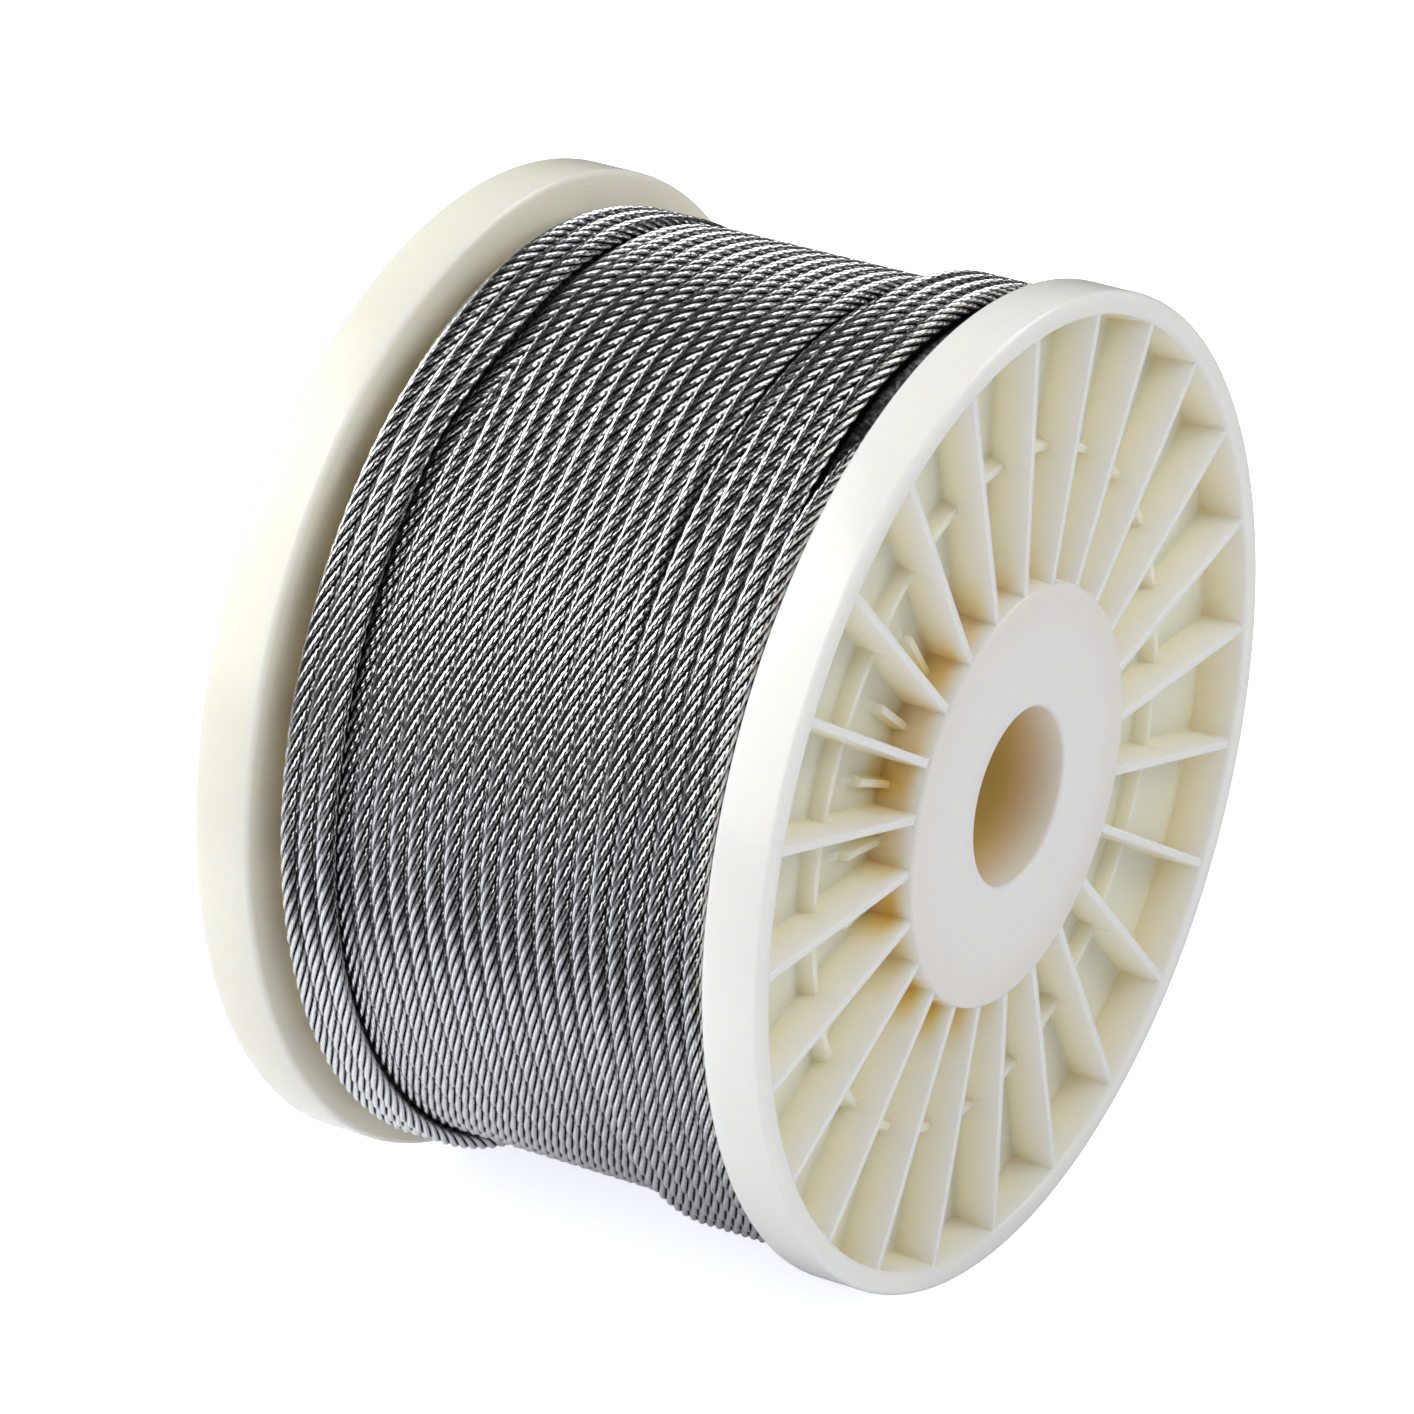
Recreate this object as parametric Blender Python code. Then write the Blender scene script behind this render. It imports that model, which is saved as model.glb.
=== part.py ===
"""Wire rope on a moulded plastic reel, lying on its two flange rims.

The reel's axis runs along X, the floor is Z = 0, and the origin is the point
of the floor under the middle of the reel. The near flange is at +X.
Sizes are in metres, angles in degrees.
"""

import math

import bmesh
import bpy

# Reel
FLANGE_DIAMETER = 0.200
FLANGE_WIDTH = 0.0125
TRAVERSE = 0.100            # between the inner faces of the flanges
BARREL_DIAMETER = 0.125
BORE_DIAMETER = 0.036
SEAT_CLEARANCE = 0.0003     # between pieces that touch

# Flange: an open dish of rim, web and hub
WEB_THICKNESS = 0.003
RIM_WALL = 0.0048
HUB_DIAMETER = 0.0848
DRAFT = 0.0008              # how far the walls lean out from the top to the web
EDGE_CHAMFER = 0.0012
HUB_CHAMFER = 0.0008
SLEEVE_WALL = 0.003         # round the bore, from the hub to the reel's middle
EMBED = 0.0015              # how deep a rib is rooted in the walls beside it

# Radial ribs of a flange
RIB_COUNT = 24
FIRST_RIB_ANGLE = 11.8      # from +Y towards +Z
RIB_TOP_THICKNESS = 0.0019
RIB_BASE_THICKNESS = 0.0027
RIB_SETBACK = 0.0008        # from the rim's face down to the ribs' tops

# Ring rib across the radial ribs
RING_RIB_DIAMETER = 0.1366
RING_RIB_TOP_THICKNESS = 0.0018
RING_RIB_BASE_THICKNESS = 0.0030
RING_RIB_HEIGHT = 0.0031

# Short gusset against the hub, in the middle of each bay
GUSSET_LENGTH = 0.0136
GUSSET_THICKNESS = 0.0018
GUSSET_HEIGHT = 0.0025

# Rope winding
ROPE_DIAMETER = 0.0040
TURN_GAP = 0.00006
FULL_LAYER_DIAMETER = 0.1868    # over the last complete layer
NEAR_TOP_TURNS = 6              # turns of the unfinished layer, at each flange
FAR_TOP_TURNS = 3
GROOVE_DEPTH = 0.0015           # between one turn and the next

# Facets of the round pieces
FLANGE_SEGMENTS = 72
WINDING_SEGMENTS = 48

AXIS_HEIGHT = FLANGE_DIAMETER / 2
INNER_FACE = TRAVERSE / 2
WEB_FACE = INNER_FACE + WEB_THICKNESS
RIM_FACE = INNER_FACE + FLANGE_WIDTH
RIM_INNER_RADIUS = FLANGE_DIAMETER / 2 - RIM_WALL
HUB_RADIUS = HUB_DIAMETER / 2
TURN_PITCH = ROPE_DIAMETER + TURN_GAP
LAYER_RISE = TURN_PITCH * math.sin(math.radians(60))


def material(name, colour, roughness, metallic):
    """Return a plain Principled material."""
    made = bpy.data.materials.new(name)
    made.use_nodes = True
    shader = made.node_tree.nodes["Principled BSDF"]
    shader.inputs["Base Color"].default_value = (*colour, 1.0)
    shader.inputs["Roughness"].default_value = roughness
    shader.inputs["Metallic"].default_value = metallic
    return made


def new_object(name, shape, finish=None):
    """Turn a bmesh into an object that stands at the reel's axis."""
    bmesh.ops.recalc_face_normals(shape, faces=shape.faces)
    mesh = bpy.data.meshes.new(name)
    shape.to_mesh(mesh)
    shape.free()
    piece = bpy.data.objects.new(name, mesh)
    piece.location = (0, 0, AXIS_HEIGHT)
    bpy.context.scene.collection.objects.link(piece)
    if finish:
        mesh.materials.append(finish)
        mesh.shade_smooth()
        mesh.set_sharp_from_angle(angle=math.radians(30))
    else:
        piece.hide_render = True
        piece.display_type = "WIRE"
    return piece


def turned(outline, segments):
    """Spin a closed outline of (x, radius) points about X.

    The flats, not the corners, of the turned shape lie at each radius, and
    one flat faces straight down, so the flanges rest on a flat.
    """
    shape = bmesh.new()
    step = 2 * math.pi / segments
    reach = 1 / math.cos(step / 2)
    rings = []
    for k in range(segments):
        angle = (k + 0.5) * step
        across, up = reach * math.cos(angle), reach * math.sin(angle)
        rings.append([shape.verts.new((x, r * across, r * up)) for x, r in outline])
    for k, ring in enumerate(rings):
        after = rings[(k + 1) % segments]
        for i in range(len(outline)):
            j = (i + 1) % len(outline)
            shape.faces.new((ring[i], ring[j], after[j], after[i]))
    return shape


def add_fin(shape, angle, side, inner, outer, base, top, base_thickness, top_thickness):
    """Add a radial fin that stands on the web and thins towards its top."""
    turn = math.radians(angle)
    across, up = math.cos(turn), math.sin(turn)
    corners = []
    for x, half in ((base, base_thickness / 2), (top, top_thickness / 2)):
        for r, offset in ((inner, -half), (outer, -half), (outer, half), (inner, half)):
            place = (side * x, r * across - offset * up, r * up + offset * across)
            corners.append(shape.verts.new(place))
    for loop in ((0, 1, 2, 3), (4, 5, 6, 7), (0, 1, 5, 4),
                 (1, 2, 6, 5), (2, 3, 7, 6), (3, 0, 4, 7)):
        shape.faces.new([corners[i] for i in loop])


def dish_outline(side):
    """Outline of a flange's sleeve, rim, web and hub, from the bore outwards."""
    bore = BORE_DIAMETER / 2
    edge = FLANGE_DIAMETER / 2
    points = [
        (SEAT_CLEARANCE / 2, bore),
        (SEAT_CLEARANCE / 2, bore + SLEEVE_WALL),
        (INNER_FACE, bore + SLEEVE_WALL),
        (INNER_FACE, edge - EDGE_CHAMFER),
        (INNER_FACE + EDGE_CHAMFER, edge),
        (RIM_FACE - EDGE_CHAMFER, edge),
        (RIM_FACE, edge - EDGE_CHAMFER),
        (RIM_FACE, RIM_INNER_RADIUS),
        (WEB_FACE, RIM_INNER_RADIUS - DRAFT),
        (WEB_FACE, HUB_RADIUS + DRAFT),
        (RIM_FACE - HUB_CHAMFER, HUB_RADIUS),
        (RIM_FACE, HUB_RADIUS - HUB_CHAMFER),
        (RIM_FACE, bore + HUB_CHAMFER),
        (RIM_FACE - HUB_CHAMFER, bore),
    ]
    return [(side * x, r) for x, r in points]


def ring_rib_outline(side):
    """Outline of the ring rib, rooted in the web."""
    middle = RING_RIB_DIAMETER / 2
    base = RING_RIB_BASE_THICKNESS / 2
    top = RING_RIB_TOP_THICKNESS / 2
    crest = WEB_FACE + RING_RIB_HEIGHT
    points = [
        (WEB_FACE - EMBED, middle - base),
        (WEB_FACE, middle - base),
        (crest, middle - top),
        (crest, middle + top),
        (WEB_FACE, middle + base),
        (WEB_FACE - EMBED, middle + base),
    ]
    return [(side * x, r) for x, r in points]


def radial_ribs(side):
    """All radial ribs of a flange, from the hub's wall to the rim's wall."""
    shape = bmesh.new()
    for k in range(RIB_COUNT):
        angle = FIRST_RIB_ANGLE + k * 360 / RIB_COUNT
        add_fin(shape, angle, side,
                HUB_RADIUS - EMBED, RIM_INNER_RADIUS + EMBED,
                WEB_FACE - EMBED, RIM_FACE - RIB_SETBACK,
                RIB_BASE_THICKNESS, RIB_TOP_THICKNESS)
    return shape


def gussets(side):
    """The short gussets against the hub, one in the middle of each bay."""
    shape = bmesh.new()
    for k in range(RIB_COUNT):
        angle = FIRST_RIB_ANGLE + (k + 0.5) * 360 / RIB_COUNT
        add_fin(shape, angle, side,
                HUB_RADIUS - EMBED, HUB_RADIUS + GUSSET_LENGTH,
                WEB_FACE - EMBED, WEB_FACE + GUSSET_HEIGHT,
                GUSSET_THICKNESS, GUSSET_THICKNESS)
    return shape


def flange(name, side, finish):
    """One moulded flange: the dish, joined with its ribs and gussets."""
    piece = new_object(name, turned(dish_outline(side), FLANGE_SEGMENTS), finish)
    added = {
        "ribs": radial_ribs(side),
        "ring_rib": turned(ring_rib_outline(side), FLANGE_SEGMENTS),
        "gussets": gussets(side),
    }
    for part, shape in added.items():
        joined = piece.modifiers.new(part, "BOOLEAN")
        joined.operation = "UNION"
        joined.object = new_object(name + "_" + part + "_guide", shape)
    return piece


def barrel(finish):
    """The plain core that the rope is wound on, around the flanges' sleeves."""
    end = INNER_FACE - SEAT_CLEARANCE
    inner = BORE_DIAMETER / 2 + SLEEVE_WALL + SEAT_CLEARANCE
    outer = BARREL_DIAMETER / 2
    outline = [(-end, inner), (-end, outer), (end, outer), (end, inner)]
    return new_object("barrel", turned(outline, FLANGE_SEGMENTS), finish)


def winding_outline():
    """Outline of the wound rope, from the near flange to the far one.

    The last complete layer starts against the near flange. The unfinished
    layer on it lies in its grooves, as one group of turns at each flange.
    """
    edge = INNER_FACE - SEAT_CLEARANCE
    full_turns = int((2 * edge) / TURN_PITCH)
    shoulder = TURN_PITCH / 4
    low = FULL_LAYER_DIAMETER / 2
    high = low + LAYER_RISE
    near_end, far_start = NEAR_TOP_TURNS, full_turns - FAR_TOP_TURNS

    def full(k):
        return edge - (k + 0.5) * TURN_PITCH

    def group(first, last):
        """Crowns and grooves of the raised turns that lie in these grooves."""
        points = []
        for k in range(first, last):
            x = edge - k * TURN_PITCH
            points += [(x + shoulder, high), (x - shoulder, high)]
            if k < last - 1:
                points.append((x - TURN_PITCH / 2, high - GROOVE_DEPTH))
        return points

    outline = [
        (edge, low - GROOVE_DEPTH),
        (full(0) + shoulder, low),
        (full(0), low),
    ]
    outline += group(1, near_end + 1)
    outline.append((full(near_end), low))
    for k in range(near_end, far_start):
        if k > near_end:
            outline.append((full(k) + shoulder, low))
        if k < far_start - 1:
            outline.append((full(k) - shoulder, low))
            outline.append((full(k) - TURN_PITCH / 2, low - GROOVE_DEPTH))
    outline.append((full(far_start - 1), low))
    outline += group(far_start, full_turns)
    last = full(full_turns - 1)
    outline += [
        (last, low),
        (last - shoulder, low),
        (last - TURN_PITCH / 2, low - GROOVE_DEPTH),
        (last - TURN_PITCH / 2, low - LAYER_RISE),
        (-edge, low - LAYER_RISE),
    ]
    return outline


def winding(finish):
    """The wound rope as one turned solid around the barrel."""
    edge = INNER_FACE - SEAT_CLEARANCE
    inner = BARREL_DIAMETER / 2 + SEAT_CLEARANCE
    outline = [(edge, inner)] + winding_outline() + [(-edge, inner)]
    return new_object("wire_rope_winding", turned(outline, WINDING_SEGMENTS), finish)


def clear_scene():
    for old in list(bpy.data.objects):
        bpy.data.objects.remove(old, do_unlink=True)


def build():
    clear_scene()
    cream = (0.80, 0.78, 0.66)
    flange("near_flange", 1, material("near_flange_plastic", cream, 0.38, 0.0))
    flange("far_flange", -1, material("far_flange_plastic", cream, 0.38, 0.0))
    barrel(material("barrel_plastic", cream, 0.45, 0.0))
    winding(material("rope_steel", (0.55, 0.56, 0.58), 0.28, 1.0))


build()
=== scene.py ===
import math

import bpy
import numpy as np
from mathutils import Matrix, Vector


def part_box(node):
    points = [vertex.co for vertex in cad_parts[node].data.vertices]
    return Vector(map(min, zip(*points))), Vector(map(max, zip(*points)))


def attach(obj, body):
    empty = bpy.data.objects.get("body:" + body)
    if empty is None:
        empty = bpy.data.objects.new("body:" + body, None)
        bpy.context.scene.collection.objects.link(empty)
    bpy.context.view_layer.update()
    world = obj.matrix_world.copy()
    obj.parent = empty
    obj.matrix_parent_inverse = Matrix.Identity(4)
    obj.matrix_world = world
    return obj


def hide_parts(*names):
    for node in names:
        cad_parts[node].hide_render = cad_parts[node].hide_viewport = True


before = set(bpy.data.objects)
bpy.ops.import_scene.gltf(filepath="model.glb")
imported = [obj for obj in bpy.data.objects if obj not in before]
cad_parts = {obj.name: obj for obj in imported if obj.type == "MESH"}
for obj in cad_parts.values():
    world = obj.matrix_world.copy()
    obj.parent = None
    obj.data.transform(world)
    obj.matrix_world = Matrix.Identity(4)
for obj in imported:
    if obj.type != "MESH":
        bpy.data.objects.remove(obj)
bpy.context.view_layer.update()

MM = 0.001

# Sizes that the frame gives
near_low, near_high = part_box("near_flange")
coil_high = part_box("wire_rope_winding")[1]
RIM_FACE = near_high[0]
FLANGE_RADIUS = (near_high[2] - near_low[2]) / 2
AXIS_HEIGHT = (near_high[2] + near_low[2]) / 2
SEAT_CLEARANCE = 2 * near_low[0]
INNER_FACE = coil_high[0] + SEAT_CLEARANCE
COIL_END = INNER_FACE - SEAT_CLEARANCE

# Flange moulding
WEB_FACE = INNER_FACE + 3.0 * MM
RIM_INNER_RADIUS = 95.2 * MM
HUB_RADIUS = 42.4 * MM
BORE_RADIUS = 18.0 * MM
SLEEVE_WALL = 3.0 * MM
WALL_DRAFT = 0.8 * MM
RIB_COUNT = 24
BAY = 2 * math.pi / RIB_COUNT
FIRST_RIB_ANGLE = 11.8
RIB_TOP = RIM_FACE - 0.8 * MM
RIB_HALF_TOP = 0.95 * MM
RIB_HALF_BASE = 1.35 * MM
RING_RIB_RADIUS = 68.3 * MM
RING_RIB_HALF_TOP = 0.9 * MM
RING_RIB_HALF_BASE = 1.5 * MM
RING_RIB_TOP = WEB_FACE + 3.1 * MM
GUSSET_HALF = 0.9 * MM
GUSSET_END = 56.0 * MM
GUSSET_TOP = WEB_FACE + 2.5 * MM
EDGE_ROUND = 0.4 * MM
RING_RIB_ROUND = 0.3 * MM
GUSSET_ROUND = 0.15 * MM
RIM_ROUND = 1.2 * MM
HUB_ROUND = 0.8 * MM
FILLET = 0.6 * MM

# Wire rope: six strands of twelve outer wires round a core
ROPE_RADIUS = 2.0 * MM
STRAND_RADIUS = ROPE_RADIUS / 3
STRANDS = 6
STRAND_POINTS = 6           # mesh columns across the bare side of a strand
BARE_ARC = 120              # degrees each way, to where two strands meet
ROPE_LAY = 24.0 * MM
ROWS_PER_LAY = 16
WIRES_PER_STRAND = 12
WIRE_LAY = 12.0 * MM

# Winding, from the far flange to the near one
TURN_PITCH = 4.06 * MM
LOW_CROWN = 93.4 * MM
LAYER_RISE = TURN_PITCH * math.sin(math.radians(60))
FAR_TURNS = 3
LOW_TURNS = 14
NEAR_TURNS = 6
FIRST_LOW_TURN = -33.4 * MM
FAR_COVERED_TURN = -37.46 * MM
NEAR_COVERED_TURN = 31.46 * MM
ROPE_PIECES = 5

# Angles between which a turn moves, from +Y over the top to the front, in degrees
TOP_START = 50
FAR_TOP_START = 60
TOP_END = 104
FRONT_START = 130
FRONT_END = 250


# Mesh helpers

def grid_object(name, rows, wrap_rows, corner_maps=None):
    """A mesh from an array of points (row, column, xyz). Columns always wrap."""
    count, width = rows.shape[:2]
    spans = count if wrap_rows else count - 1
    i, j = np.meshgrid(np.arange(spans), np.arange(width), indexing="ij")
    i2, j2 = (i + 1) % count, (j + 1) % width
    quads = np.stack([i * width + j, i * width + j2, i2 * width + j2, i2 * width + j], -1)
    quads = quads.reshape(-1, 4)
    faces = quads.tolist()
    if not wrap_rows:
        last = (count - 1) * width
        faces.append([last + k for k in range(width)])
        faces.append([width - 1 - k for k in range(width)])
    mesh = bpy.data.meshes.new(name)
    mesh.from_pydata(rows.reshape(-1, 3).tolist(), [], faces)
    for map_name, corners in (corner_maps or {}).items():
        layer = mesh.uv_layers.new(name=map_name)
        values = np.zeros((len(mesh.loops), 2), np.float32)
        flat = corners.reshape(-1, 2)
        values[:len(flat)] = flat
        layer.uv.foreach_set("vector", values.ravel())
    mesh.shade_smooth()
    mesh.update()
    piece = bpy.data.objects.new(name, mesh)
    bpy.context.scene.collection.objects.link(piece)
    return piece


def arc(centre, radius, start, end, steps):
    """Points of an arc in the (x, radius) plane, angles in degrees."""
    turns = np.radians(np.linspace(start, end, steps))
    return [(centre[0] + radius * math.cos(t), centre[1] + radius * math.sin(t)) for t in turns]


def smooth_step(t):
    t = np.clip(t, 0, 1)
    return t * t * (3 - 2 * t)


# Reel flanges

def bank(distance, half_top, half_base, top, edge):
    """Height of a rib whose middle line is this far away: crest, wall, fillet."""
    d = np.abs(distance)
    rounded = top - edge + np.sqrt(np.maximum(edge**2 - np.maximum(d - half_top + edge, 0)**2, 0))
    slope = (top - edge - WEB_FACE - FILLET) / (half_base - half_top)
    wall = top - edge - (d - half_top) * slope
    over = np.clip((half_base + FILLET - d) / FILLET, 0, 1)
    fillet = WEB_FACE + FILLET - np.sqrt(FILLET**2 - (over * FILLET)**2)
    height = np.where(d <= half_top, rounded, wall)
    height = np.where(d > half_base, fillet, height)
    return np.where(d > half_base + FILLET, WEB_FACE, height)


def bay_columns():
    """Mesh columns of one bay: distance from the rib or the gusset, or a share between."""
    rib = [0, 0.55, 0.8, 0.95, 1.35, 1.5, 1.95]
    gusset = [0, 0.5, 0.75, 0.9, 1.2, 1.7]
    between = [0.25, 0.5, 0.75]
    half = [("rib", d * MM) for d in rib]
    half += [("share", f) for f in between]
    half += [("gusset", -d * MM) for d in reversed(gusset)]
    back = [("gusset", -d) for kind, d in reversed(half) if kind == "gusset" and d]
    back += [("share", 2 - f) for kind, f in reversed(half) if kind == "share"]
    back += [("rib2", -d) for kind, d in reversed(half) if kind == "rib" and d]
    return half + back, max(rib) * MM, max(gusset) * MM


def flange_outline():
    """Turned outline (x, radius) of a flange. The dish's own rows have no x yet."""
    lip, hub = RIM_ROUND, HUB_ROUND
    bore = [(near_low[0], BORE_RADIUS), (INNER_FACE, BORE_RADIUS)]
    bore += arc((RIM_FACE - hub, BORE_RADIUS + hub), hub, -90, 0, 5)
    hub_face = [(RIM_FACE, 24 * MM), (RIM_FACE, 33 * MM)]
    hub_face += arc((RIM_FACE - hub, HUB_RADIUS - hub), hub, 0, 90, 5)
    floor = [43.15, 43.3, 43.8, 46.5, 50, 53.5, 55.5, 55.8, 56.0, 56.3, 56.6, 60, 64,
             66.2, 66.5, 66.8, 67.4, 67.6, 67.8, 68.8, 69.0, 69.2, 69.8, 70.1, 70.4,
             75, 80, 85, 90, 93.7, 94.2]
    dish = [(None, r * MM) for r in floor]
    rim = arc((RIM_FACE - lip, RIM_INNER_RADIUS + lip), lip, 180 + 90, 360, 6)
    rim += arc((RIM_FACE - lip, FLANGE_RADIUS - lip), lip, 0, 90, 6)
    rim += [(INNER_FACE + lip, FLANGE_RADIUS)]
    rim += arc((INNER_FACE + lip, FLANGE_RADIUS - lip), lip, 90, 180, 5)[1:]
    inner = [(INNER_FACE, 92 * MM), (INNER_FACE, 60 * MM), (INNER_FACE, BORE_RADIUS + SLEEVE_WALL),
             (near_low[0], BORE_RADIUS + SLEEVE_WALL)]
    return bore + hub_face + dish + rim + inner


def dish_height(r):
    """Height of the bare dish at this radius, between the hub and the rim."""
    hub_wall = RIB_TOP - (r - HUB_RADIUS) * (RIB_TOP - WEB_FACE - FILLET) / WALL_DRAFT
    rim_foot = RIM_INNER_RADIUS - WALL_DRAFT
    rim_wall = WEB_FACE + FILLET + (r - rim_foot) * (RIB_TOP - WEB_FACE - FILLET) / WALL_DRAFT
    near_hub = np.clip((HUB_RADIUS + WALL_DRAFT + FILLET - r) / FILLET, 0, 1)
    near_rim = np.clip((r - rim_foot + FILLET) / FILLET, 0, 1)
    fillet = WEB_FACE + FILLET - np.sqrt(FILLET**2 - (np.maximum(near_hub, near_rim) * FILLET)**2)
    height = np.where(r < HUB_RADIUS + WALL_DRAFT, np.maximum(hub_wall, fillet), fillet)
    return np.where(r > rim_foot, np.maximum(rim_wall, fillet), height)


def column_angles(columns, rib_reach, gusset_reach, r):
    """Angles of one bay's mesh columns at this radius, from the middle of a rib."""
    held = min(max(r, HUB_RADIUS), RIM_INNER_RADIUS)
    rib_edge = math.asin(rib_reach / held)
    gusset_edge = BAY / 2 - math.asin(gusset_reach / held)
    angles = []
    for kind, value in columns:
        if kind == "rib":
            angles.append(math.asin(value / held))
        elif kind == "rib2":
            angles.append(BAY + math.asin(value / held))
        elif kind == "gusset":
            angles.append(BAY / 2 + math.asin(value / held))
        elif value < 1:
            angles.append(rib_edge + value * (gusset_edge - rib_edge))
        else:
            angles.append(BAY - rib_edge - (2 - value) * (gusset_edge - rib_edge))
    return np.array(angles)


def ribbed_height(angles, r, base):
    """Height of the dish at these places of a bay, with its ribs and its gusset."""
    off_rib = r * np.sin(angles - BAY * np.round(angles / BAY))
    off_gusset = r * np.sin(angles - BAY / 2)
    rib = bank(off_rib, RIB_HALF_TOP, RIB_HALF_BASE, RIB_TOP, EDGE_ROUND)
    ring = bank(r - RING_RIB_RADIUS, RING_RIB_HALF_TOP, RING_RIB_HALF_BASE,
                RING_RIB_TOP, RING_RIB_ROUND)
    end = np.clip((GUSSET_END - r) / (0.5 * MM), 0, 1)
    gusset_top = WEB_FACE + FILLET + (GUSSET_TOP - WEB_FACE - FILLET) * end
    gusset = bank(off_gusset, GUSSET_HALF - GUSSET_ROUND, GUSSET_HALF + 0.1 * MM,
                  gusset_top, GUSSET_ROUND)
    gusset = np.where(r > GUSSET_END + FILLET, WEB_FACE, gusset)
    return np.maximum.reduce([np.full_like(rib, base), rib, np.full_like(rib, ring), gusset])


def flange(name, node, side, finish):
    """A moulded flange with rounded edges, draft and fillets, as one grid."""
    columns, rib_reach, gusset_reach = bay_columns()
    first = math.radians(FIRST_RIB_ANGLE)
    rows = []
    for x, r in flange_outline():
        angles = column_angles(columns, rib_reach, gusset_reach, r)
        at_ribs = HUB_RADIUS - 0.1 * MM < r < RIM_INNER_RADIUS + RIM_ROUND
        if at_ribs and (x is None or x > RIB_TOP - 2 * MM):
            height = ribbed_height(angles, r, dish_height(r) if x is None else x)
        else:
            height = np.full_like(angles, x)
        all_angles = np.concatenate([angles + first + k * BAY for k in range(RIB_COUNT)])
        all_heights = np.tile(height, RIB_COUNT)
        points = np.stack([side * all_heights, r * np.cos(all_angles),
                           AXIS_HEIGHT + r * np.sin(all_angles)], -1)
        rows.append(points if side > 0 else points[::-1])
    piece = grid_object(name, np.array(rows), True)
    piece.data.set_sharp_from_angle(angle=math.radians(40))
    piece.data.materials.append(finish)
    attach(piece, "root")
    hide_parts(node)


# Wire rope

def strand_section():
    """Section of the rope: (radius, angle) of each column, and its angle in its strand."""
    points, local = [], []
    step = 2 * BARE_ARC / STRAND_POINTS
    distance = ROPE_RADIUS - STRAND_RADIUS
    for k in range(STRANDS):
        for i in range(STRAND_POINTS):
            beta = math.radians(-BARE_ARC + i * step)
            y = distance + STRAND_RADIUS * math.cos(beta)
            z = STRAND_RADIUS * math.sin(beta)
            turn = 2 * math.pi * k / STRANDS
            points.append((math.hypot(y, z), math.atan2(z, y) + turn))
            local.append(beta)
    return np.array(points), np.array(local)


def rope(name, angle, x, radius, start_length, finish, closed=False):
    """A stranded rope whose centre line is given by arrays of angle, x and radius."""
    section, local = strand_section()
    theta = np.radians(angle)
    length = start_length + np.concatenate(
        [[0], np.cumsum(np.diff(theta) * (radius[1:] + radius[:-1]) / 2)])
    if closed:
        length *= round(length[-1] / ROPE_LAY) * ROPE_LAY * len(theta) / (len(theta) - 1) / length[-1]
    out = np.stack([np.zeros_like(theta), np.cos(theta), np.sin(theta)], -1)
    centre = out * radius[:, None]
    centre[:, 0] = x
    centre[:, 2] += AXIS_HEIGHT
    turn = section[None, :, 1] - 2 * math.pi * length[:, None] / ROPE_LAY
    rho = section[None, :, 0]
    points = centre[:, None, :] + (rho * np.cos(turn))[..., None] * out[:, None, :]
    points[..., 0] += rho * np.sin(turn)

    # The wires run the other way round in each strand, so they lie along the rope.
    columns = len(local)
    step = math.radians(2 * BARE_ARC / STRAND_POINTS)
    spans = len(theta) if closed else len(theta) - 1
    rows = np.arange(spans)
    low, high = length[rows], length[(rows + 1) % len(theta)]
    if closed:
        high[-1] = low[-1] + low[1] - low[0]
    left = np.tile(local, (spans, 1))
    right = left + step

    def corner(beta, along):
        wire = WIRES_PER_STRAND * (beta / (2 * math.pi) - along[:, None] / WIRE_LAY)
        return np.stack([wire, np.broadcast_to(along[:, None] / ROPE_LAY, beta.shape)], -1)

    outward = np.cos(turn)
    if closed:
        outward = np.concatenate([outward, outward[:1]])
    outward = outward[:spans + 1]
    after = np.roll(outward, -1, axis=1)

    def across(beta, bare):
        return np.stack([beta / math.radians(BARE_ARC), bare], -1)

    maps = {
        "wires": np.stack([corner(left, low), corner(right, low),
                           corner(right, high), corner(left, high)], 2),
        "section": np.stack([across(left, outward[:-1]), across(right, after[:-1]),
                             across(right, after[1:]), across(left, outward[1:])], 2),
    }
    piece = grid_object(name, points, closed, maps)
    piece.data.set_sharp_from_angle(angle=math.radians(62))
    piece.data.materials.append(finish)
    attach(piece, "root")
    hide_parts("wire_rope_winding")
    return length[-1]


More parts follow.
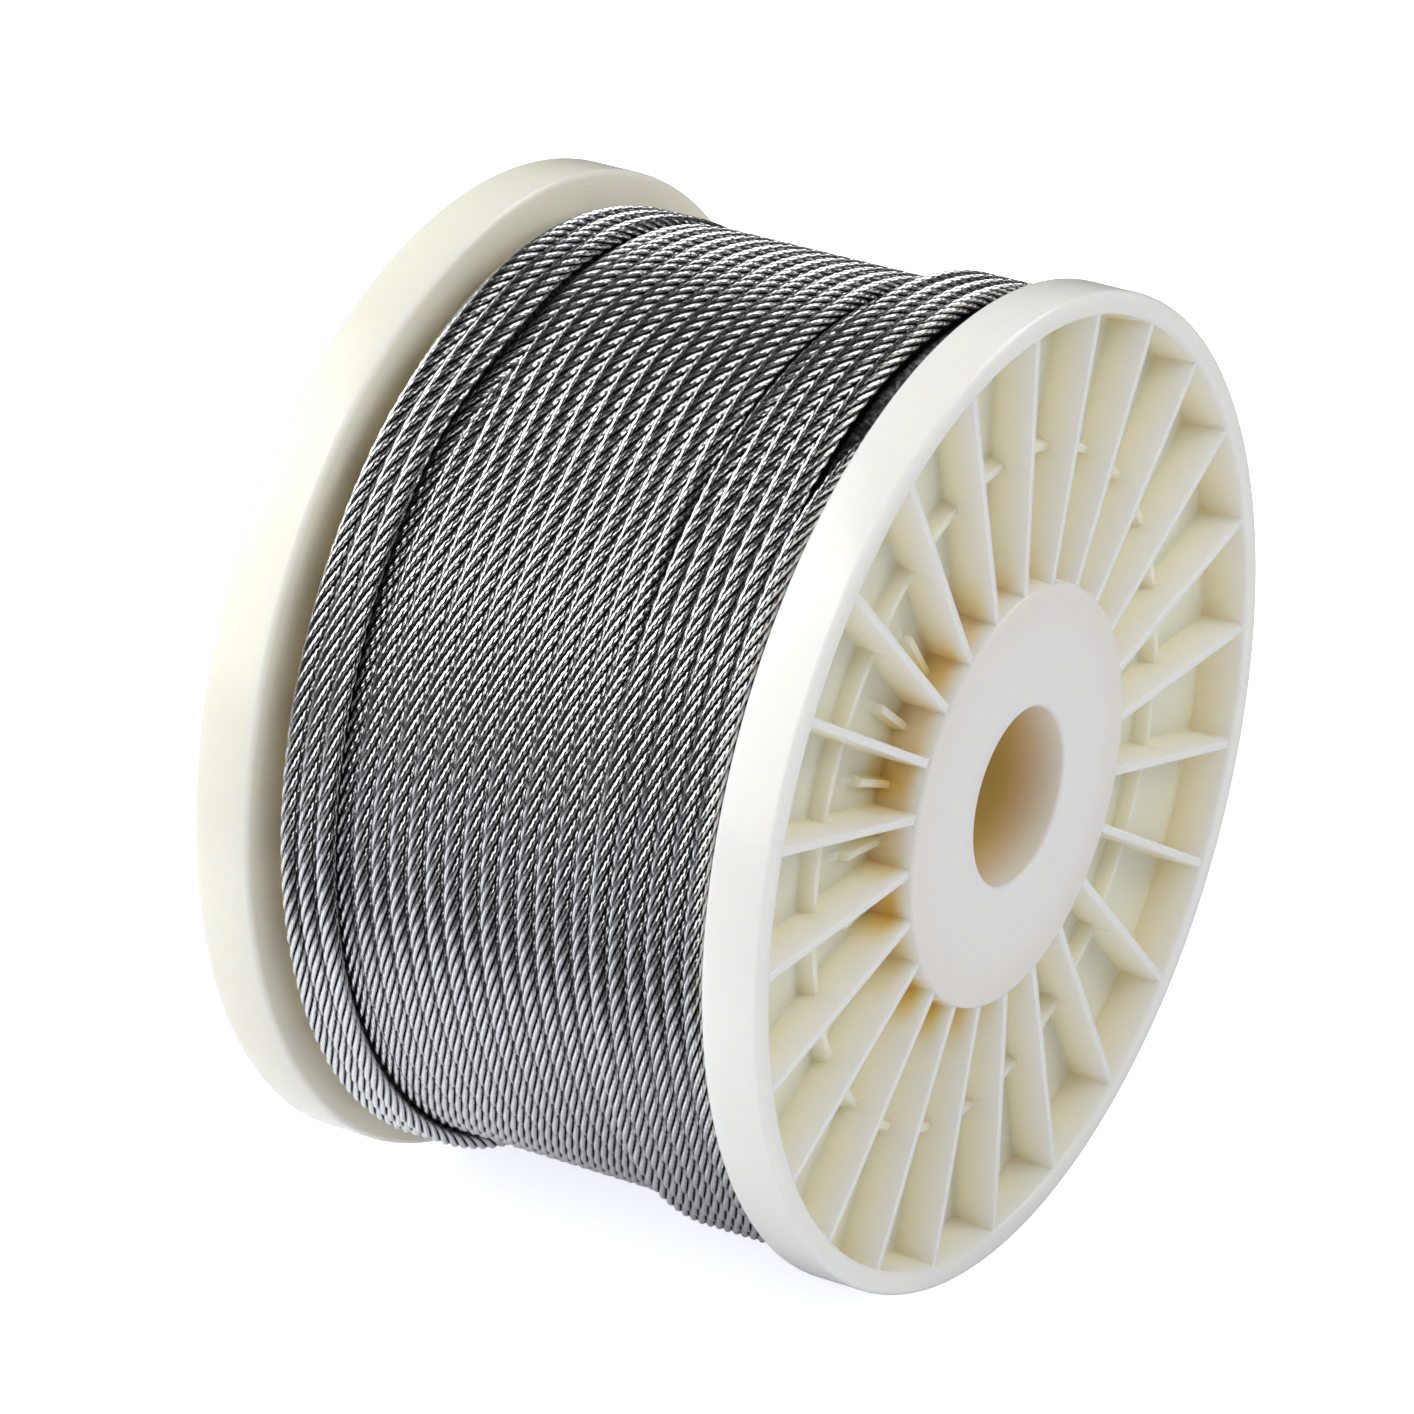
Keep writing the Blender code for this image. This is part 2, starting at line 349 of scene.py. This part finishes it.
def winding_keys():
    """Where the rope is at the front and over the top of each turn.

    Angles run from +Y over the top to the front and below. The rope squeezes
    in from below at two places over the top, and pushes its neighbours aside.
    """
    low = LOW_CROWN - ROPE_RADIUS
    high = low + LAYER_RISE
    keys = []
    turns = FAR_TURNS + LOW_TURNS + NEAR_TURNS
    for j in range(turns):
        if j < FAR_TURNS:
            front = (-COIL_END + (j + 1.5) * TURN_PITCH, high)
            top = (front[0] + (1.3 + 0.35 * j) * MM, high)
        elif j < FAR_TURNS + LOW_TURNS:
            i = j - FAR_TURNS
            front = (FIRST_LOW_TURN + i * TURN_PITCH, low)
            shift = -1.9 + 0.8 * (i - 2) / (LOW_TURNS - 3)
            top = (front[0] + shift * MM, low)
            if i == 0:
                top = (front[0] + 2.3 * MM, low - 0.9 * MM)
            if i == 1:
                top = (front[0] + 0.2 * MM, low - 3.2 * MM)
        else:
            i = NEAR_TURNS - (j - FAR_TURNS - LOW_TURNS)
            front = (COIL_END - i * TURN_PITCH, high)
            top = (front[0] - 0.5 * MM, high)
            if i == NEAR_TURNS:
                top = (front[0] - 2.6 * MM, low - 1.2 * MM)
            if i == 1:
                top = (front[0] + 0.9 * MM, low - 1.2 * MM)
        base = 360 * j
        if j == 0:
            # The last turn of the full layer at the far flange, which climbs to the raised ones
            for angle, sunk in ((-330, 5 * MM), (-300, 0), (20, 0)):
                keys.append((angle, -COIL_END + TURN_PITCH, low - sunk))
        start = top
        if j < FAR_TURNS:
            start = (front[0] + 1.0 * MM, low + 0.6 * MM)
        if j == FAR_TURNS:
            start = (top[0], low)
        keys.append((base + (FAR_TOP_START if j < FAR_TURNS else TOP_START), *start))
        keys.append((base + TOP_END, *top))
        keys.append((base + FRONT_START, *front))
        keys.append((base + FRONT_END, *front))
    keys.append((360 * turns + 30, COIL_END - 1.2 * TURN_PITCH, low - 6 * MM))
    return np.array(keys)


def wind_rope(finish):
    """The one rope of the winding, cut into pieces of a workable size."""
    keys = winding_keys()
    start, end = keys[0, 0], keys[-1, 0]
    step = math.degrees(ROPE_LAY / ROWS_PER_LAY / LOW_CROWN)
    count = int((end - start) / step)
    angle = np.linspace(start, end, count)
    span = np.clip(np.searchsorted(keys[:, 0], angle, side="right") - 1, 0, len(keys) - 2)
    a, b = keys[span], keys[span + 1]
    t = smooth_step((angle - a[:, 0]) / (b[:, 0] - a[:, 0]))
    x = a[:, 1] + (b[:, 1] - a[:, 1]) * t
    radius = a[:, 2] + (b[:, 2] - a[:, 2]) * t
    cuts = np.linspace(0, count - 1, ROPE_PIECES + 1).astype(int)
    length = 0
    for k in range(ROPE_PIECES):
        part = slice(cuts[k], cuts[k + 1] + 1)
        length = rope(f"rope_run_{k + 1}", angle[part], x[part], radius[part], length, finish)


def sinking_turn(start, end, depth, start_ease, end_ease):
    """Angles of a single turn, and its radius: both of its ends sink by the depth."""
    low = LOW_CROWN - ROPE_RADIUS
    count = int(math.radians(end - start) * low / ROPE_LAY * ROWS_PER_LAY)
    angle = np.linspace(start, end, count)
    raised = smooth_step((angle - start) / start_ease) * smooth_step((end - angle) / end_ease)
    return angle, low - depth * (1 - raised)


def edge_turns(finish):
    """The turns that lie lower, between the last layer and each flange."""
    middle = COIL_END - ROPE_RADIUS
    radius = LOW_CROWN - ROPE_RADIUS - LAYER_RISE
    count = int(2 * math.pi * radius / ROPE_LAY * ROWS_PER_LAY)
    angle = np.arange(count) * 360 / count
    rope("rope_far_edge", angle, np.full(count, -middle), np.full(count, radius), 0, finish,
         closed=True)
    angle, radius = sinking_turn(76, 412, 5 * MM, 22, 30)
    rope("rope_near_edge", angle, np.full(len(angle), middle), radius, 0, finish)


def covered_turn(finish):
    """The last turn of the full layer, half covered by the raised turns at the near flange.

    It comes up from below at the front, moves along with its neighbours at the
    back, and goes below again over the top.
    """
    angle, radius = sinking_turn(132, 490, 4 * MM, 25, 25)
    moved = smooth_step((angle - FRONT_END) / (360 + TOP_START - FRONT_END))
    x = FIRST_LOW_TURN + LOW_TURNS * TURN_PITCH + 3.36 * MM * moved
    rope("rope_covered_turn", angle, x, radius, 0, finish)


def lower_layers(finish):
    """The wound layers below, which show only at the gaps: one grooved drum.

    Under each group of raised turns one more layer lies, as at the rest of the winding.
    """
    turns = int(2 * COIL_END / TURN_PITCH)
    below = [(-COIL_END + (k + 0.5) * TURN_PITCH, LOW_CROWN - LAYER_RISE) for k in range(turns)]
    far = [(FAR_COVERED_TURN - k * TURN_PITCH, LOW_CROWN) for k in range(FAR_TURNS - 1)]
    near = [(NEAR_COVERED_TURN + k * TURN_PITCH, LOW_CROWN) for k in range(NEAR_TURNS - 1)]
    first, last = FAR_COVERED_TURN + TURN_PITCH, NEAR_COVERED_TURN - TURN_PITCH
    crowns = [c for c in below if first < c[0] < last or c[0] < far[-1][0]]
    crowns = sorted(crowns + far + near)
    core = 64 * MM
    outline = [(-COIL_END, core)]
    for middle, crown in crowns:
        for share in (-0.42, -0.25, 0, 0.25, 0.42):
            offset = share * TURN_PITCH
            drop = ROPE_RADIUS - math.sqrt(ROPE_RADIUS**2 - offset**2)
            if abs(middle + offset) < COIL_END:
                outline.append((middle + offset, crown - 0.1 * MM - drop))
    outline += [(COIL_END, core)]
    segments = 144
    angles = np.arange(segments) * 2 * math.pi / segments
    rows = [np.stack([np.full(segments, x), r * np.cos(angles), AXIS_HEIGHT + r * np.sin(angles)], -1)
            for x, r in reversed(outline)]
    piece = grid_object("lower_layers", np.array(rows), True)
    piece.data.materials.append(finish)
    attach(piece, "root")
    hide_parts("wire_rope_winding")


# Materials

class Nodes:
    """Short calls for building a node tree."""

    def __init__(self, name):
        self.material = bpy.data.materials.new(name)
        self.material.use_nodes = True
        self.tree = self.material.node_tree
        self.shader = self.tree.nodes["Principled BSDF"]

    def add(self, kind, **settings):
        node = self.tree.nodes.new(kind)
        for key, value in settings.items():
            setattr(node, key, value)
        return node

    def put(self, socket, value):
        if isinstance(value, bpy.types.NodeSocket):
            self.tree.links.new(value, socket)
        else:
            socket.default_value = value

    def math(self, operation, a, b=0.0, clamp=False):
        node = self.add("ShaderNodeMath", operation=operation, use_clamp=clamp)
        self.put(node.inputs[0], a)
        self.put(node.inputs[1], b)
        return node.outputs[0]

    def span(self, value, low, high, to_low=0.0, to_high=1.0):
        """Ease from one value to another while the input goes from low to high."""
        node = self.add("ShaderNodeMapRange", interpolation_type="SMOOTHSTEP")
        for key, item in (("Value", value), ("From Min", low), ("From Max", high),
                          ("To Min", to_low), ("To Max", to_high)):
            self.put(node.inputs[key], item)
        return node.outputs["Result"]

    def split(self, vector):
        node = self.add("ShaderNodeSeparateXYZ")
        self.put(node.inputs[0], vector)
        return node.outputs["X"], node.outputs["Y"], node.outputs["Z"]

    def square(self, value):
        return self.math("MULTIPLY", value, value)

    def length(self, a, b):
        return self.math("SQRT", self.math("ADD", self.square(a), self.square(b)))

    def mix(self, share, a, b):
        node = self.add("ShaderNodeMix", data_type="RGBA")
        self.put(node.inputs[0], share)
        for socket, colour in ((node.inputs[6], a), (node.inputs[7], b)):
            self.put(socket, colour if isinstance(colour, bpy.types.NodeSocket) else (*colour, 1))
        return node.outputs[2]

    def noise(self, vector, scale, detail):
        node = self.add("ShaderNodeTexNoise")
        self.put(node.inputs["Vector"], vector)
        self.put(node.inputs["Scale"], scale)
        self.put(node.inputs["Detail"], detail)
        return node.outputs["Fac"]

    def bump(self, height, distance, strength=1.0):
        node = self.add("ShaderNodeBump")
        self.put(node.inputs["Height"], height)
        self.put(node.inputs["Distance"], distance)
        self.put(node.inputs["Strength"], strength)
        self.put(self.shader.inputs["Normal"], node.outputs["Normal"])


def rope_material():
    """Bright wires, darker in the seams, between the strands and between the turns: dirt and painted
    shade.
    """
    n = Nodes("rope_steel")
    across_wires = n.split(n.add("ShaderNodeUVMap", uv_map="wires").outputs["UV"])[0]
    from_middle = n.math("SUBTRACT", n.math("FRACT", across_wires), 0.5)
    ripple = n.math("MULTIPLY", n.square(from_middle), 4.0)
    wire_height = n.math("SQRT", n.math("SUBTRACT", 1.0, ripple, clamp=True))
    beta, outward, _ = n.split(n.add("ShaderNodeUVMap", uv_map="section").outputs["UV"])
    from_crown = n.math("ABSOLUTE", beta)
    # groove, valley and seam set where dirt and painted shade darken the wires: towards the edges of
    # each strand, on the sides of each turn that face in towards the drum, and between the wires.
    groove = n.span(from_crown, 0.34, 0.8)
    valley = n.span(outward, 0.1, -0.6)
    seam = n.math("MULTIPLY", n.span(wire_height, 0.0, 0.7, 1.0, 0.0), 0.5)
    dark = n.math("MAXIMUM", n.math("MAXIMUM", groove, valley), seam)
    steel, grime_and_shade = (0.95, 0.95, 0.96), (0.045, 0.045, 0.048)
    n.put(n.shader.inputs["Base Color"], n.mix(dark, steel, grime_and_shade))
    n.put(n.shader.inputs["Metallic"], 1.0)
    n.put(n.shader.inputs["Roughness"], 0.2)
    # The bright band along a strand is broad, so the crown is made flatter. Heights are in mm.
    flatter, wire_relief = 0.3, 0.03
    off_crown = n.math("MINIMUM", n.math("MULTIPLY", from_crown, math.radians(BARE_ARC)), 0.85)
    crown = n.math("MULTIPLY", n.square(off_crown), 0.5 * flatter * STRAND_RADIUS / MM)
    n.bump(n.math("ADD", crown, n.math("MULTIPLY", wire_height, wire_relief)), MM)
    return n.material


def drum_material():
    """Dull steel for the layers below, painted dark: painted shade, as they show only deep in the
    gaps.
    """
    n = Nodes("lower_rope_shaded_steel")
    speck = n.noise(n.add("ShaderNodeTexCoord").outputs["Object"], 900, 3)
    # Both tones are painted shade, far darker than the rope above, with a fine speckle between them.
    dark, pale = (0.03, 0.03, 0.03), (0.16, 0.16, 0.16)
    n.put(n.shader.inputs["Base Color"], n.mix(n.span(speck, 0.4, 0.7), dark, pale))
    n.put(n.shader.inputs["Metallic"], 1.0)
    n.put(n.shader.inputs["Roughness"], 0.45)
    n.bump(speck, 0.1 * MM)
    return n.material


def plastic_material():
    """White moulded plastic, with painted shade that makes it yellower deeper in the dish and a
    darker, yellower white on the far flange; amber at the foot of the hub and in the bore.
    """
    n = Nodes("reel_plastic")
    place = n.add("ShaderNodeTexCoord").outputs["Object"]
    x, y, z = n.split(place)
    radius = n.length(y, n.math("SUBTRACT", z, AXIS_HEIGHT))
    depth = n.math("SUBTRACT", RIM_FACE, n.math("ABSOLUTE", x))

    def both(a, b):
        return n.math("MULTIPLY", a, b)

    def radial(inner, outer):
        return n.span(radius, inner * MM, outer * MM)

    def deep(low, high):
        return n.span(depth, low * MM, high * MM)

    in_dish = both(both(radial(42.0, 42.6), radial(95.6, 95.0)), deep(11.5, 10.5))
    # sunk grows with depth into the dish and mixes in a yellower white: painted shade of the recess.
    sunk = both(deep(0.5, 9.0), in_dish)
    front_side = n.span(y, 25 * MM, -30 * MM, 0.15, 1.0)
    near_hub = both(both(both(radial(54, 43), deep(0.8, 5)), front_side), in_dish)
    # Amber, mottled, at the foot of the hub: stronger on the front side and deeper in the dish.
    hub_amber = both(near_hub, n.span(n.noise(place, 60, 4), 0.35, 0.7, 0.35, 1.0))
    hub_face = both(radial(30, 41), radial(42.6, 42.4))
    near_face = n.span(x, 62.0 * MM, 62.4 * MM)
    in_bore = both(radial(18.6, 18.2), deep(0.5, 14))

    white, recess_shade_cream, amber = (0.88, 0.87, 0.84), (0.88, 0.82, 0.63), (0.80, 0.54, 0.10)
    far_shaded_white, hub_white, bore_amber = (0.87, 0.85, 0.765), (0.87, 0.82, 0.775), (0.86, 0.62, 0.24)
    # The far flange gets a darker, yellower white than the near one: painted shade.
    colour = n.mix(n.span(x, 30 * MM, -30 * MM), white, far_shaded_white)
    colour = n.mix(both(hub_face, near_face), colour, hub_white)
    colour = n.mix(n.math("MULTIPLY", sunk, 0.9), colour, recess_shade_cream)
    colour = n.mix(n.math("MULTIPLY", hub_amber, 0.95), colour, amber)
    n.put(n.shader.inputs["Base Color"], n.mix(in_bore, colour, bore_amber))
    n.put(n.shader.inputs["Roughness"], 0.2)
    n.put(n.shader.inputs["Subsurface Weight"], 0.6)
    n.put(n.shader.inputs["Subsurface Radius"], (0.009, 0.0065, 0.0035))
    n.put(n.shader.inputs["Subsurface Scale"], 1.0)
    n.bump(n.noise(place, 35, 2), 0.12 * MM, 0.35)
    return n.material


# Stage

CAMERA_PLACE = (0.7017, -1.1912, 0.8237)
CAMERA_TARGET = (-0.007942, 0.0, 0.100852)
LENS = 201.8
LIGHT_DISTANCE = 1.3


def set_camera():
    data = bpy.data.cameras.new("photo_view")
    data.lens = LENS
    data.sensor_width = 36
    data.clip_end = 50
    camera = bpy.data.objects.new("photo_view", data)
    camera.location = CAMERA_PLACE
    aim = Vector(CAMERA_TARGET) - Vector(CAMERA_PLACE)
    camera.rotation_euler = aim.to_track_quat("-Z", "Y").to_euler()
    bpy.context.scene.collection.objects.link(camera)
    bpy.context.scene.camera = camera


def softbox(name, direction, size, power, seen_by):
    """An area light that lights matt surfaces, shows in glossy ones, or both."""
    middle = Vector((0, 0, AXIS_HEIGHT))
    place = middle + Vector(direction).normalized() * LIGHT_DISTANCE
    data = bpy.data.lights.new(name, "AREA")
    data.shape = "RECTANGLE"
    data.size, data.size_y = size
    data.energy = power
    light = bpy.data.objects.new(name, data)
    light.visible_diffuse = seen_by in ("matt", "both")
    light.visible_glossy = seen_by in ("gloss", "both")
    light.location = place
    light.rotation_euler = (middle - place).to_track_quat("-Z", "Y").to_euler()
    bpy.context.scene.collection.objects.link(light)


def set_world():
    bpy.context.scene.view_settings.view_transform = "Standard"
    world = bpy.data.worlds.new("studio")
    bpy.context.scene.world = world
    world.use_nodes = True
    tree = world.node_tree
    tree.nodes.clear()
    output = tree.nodes.new("ShaderNodeOutputWorld")
    mix = tree.nodes.new("ShaderNodeMixShader")
    path = tree.nodes.new("ShaderNodeLightPath")
    tree.links.new(path.outputs["Is Glossy Ray"], mix.inputs[0])
    # Bright to matt surfaces, and dim in glossy ones
    for k, strength in enumerate((0.38, 0.015)):
        shade = tree.nodes.new("ShaderNodeBackground")
        shade.inputs["Color"].default_value = (1, 1, 1, 1)
        shade.inputs["Strength"].default_value = strength
        tree.links.new(shade.outputs[0], mix.inputs[k + 1])
    tree.links.new(mix.outputs[0], output.inputs[0])


def set_floor():
    """A white floor. In glossy surfaces it shows only as a painted pool of light, which glows, in
    front of the reel.
    """
    mesh = bpy.data.meshes.new("floor")
    half = 6.0
    mesh.from_pydata([(-half, -half, 0), (half, -half, 0), (half, half, 0), (-half, half, 0)],
                     [], [(0, 1, 2, 3)])
    floor = bpy.data.objects.new("floor", mesh)
    bpy.context.scene.collection.objects.link(floor)
    n = Nodes("floor_white")
    path = n.add("ShaderNodeLightPath")
    glossy, camera = path.outputs["Is Glossy Ray"], path.outputs["Is Camera Ray"]
    x, y, _ = n.split(n.add("ShaderNodeTexCoord").outputs["Object"])
    # In glossy rays the floor's colour and glow are painted light: a pool in front of the reel,
    # stronger towards -X, fading away from the reel.
    painted_pool_of_light = n.math("MULTIPLY", n.span(n.length(x, y), 0.18, 0.45, 1.15, 0.04),
                   n.span(x, 0.08, -0.12, 0.25, 1.3))
    share = n.math("ADD", n.math("MULTIPLY", glossy, painted_pool_of_light), n.math("SUBTRACT", 1.0, glossy))
    glow = n.math("ADD", n.math("MULTIPLY", camera, 0.65), 0.15)
    glow = n.math("ADD", glow, n.math("MULTIPLY", glossy, 0.02))
    n.put(n.shader.inputs["Base Color"], n.mix(share, (0.0, 0.0, 0.0), (0.80, 0.82, 0.87)))
    n.put(n.shader.inputs["Roughness"], 0.9)
    n.put(n.shader.inputs["Specular IOR Level"], 0.0)
    n.put(n.shader.inputs["Emission Color"], (0.93, 0.95, 1.0, 1))
    n.put(n.shader.inputs["Emission Strength"], n.math("MULTIPLY", share, glow))
    mesh.materials.append(n.material)


def set_stage():
    set_camera()
    set_world()
    set_floor()
    # Name, direction, width and height, power, and what sees it
    for light in (
            ("key", (-0.454, -0.58, 0.66), (1.4, 0.95), 11, "matt"),
            ("key_glint", (-0.50, -0.64, 0.58), (1.2, 1.4), 11.5, "gloss"),
            ("left_glint", (-0.60, -0.30, 0.74), (0.9, 0.9), 4.5, "gloss"),
            ("left", (-0.90, -0.10, 0.38), (1.3, 1.0), 2.2, "both"),
            ("back", (-0.42, 0.76, 0.42), (1.2, 0.8), 4, "matt"),
            ("right", (0.72, 0.30, 0.62), (1.0, 0.75), 5.8, "matt"),
            ("back_glint", (0.30, 0.66, 0.69), (1.2, 0.65), 5.8, "gloss")):
        softbox(*light)


def build():
    set_stage()
    plastic = plastic_material()
    steel = rope_material()
    flange("near_flange_moulding", "near_flange", 1, plastic)
    flange("far_flange_moulding", "far_flange", -1, plastic)
    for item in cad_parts["barrel"].material_slots:
        item.material = plastic
    wind_rope(steel)
    edge_turns(steel)
    covered_turn(steel)
    lower_layers(drum_material())


build()
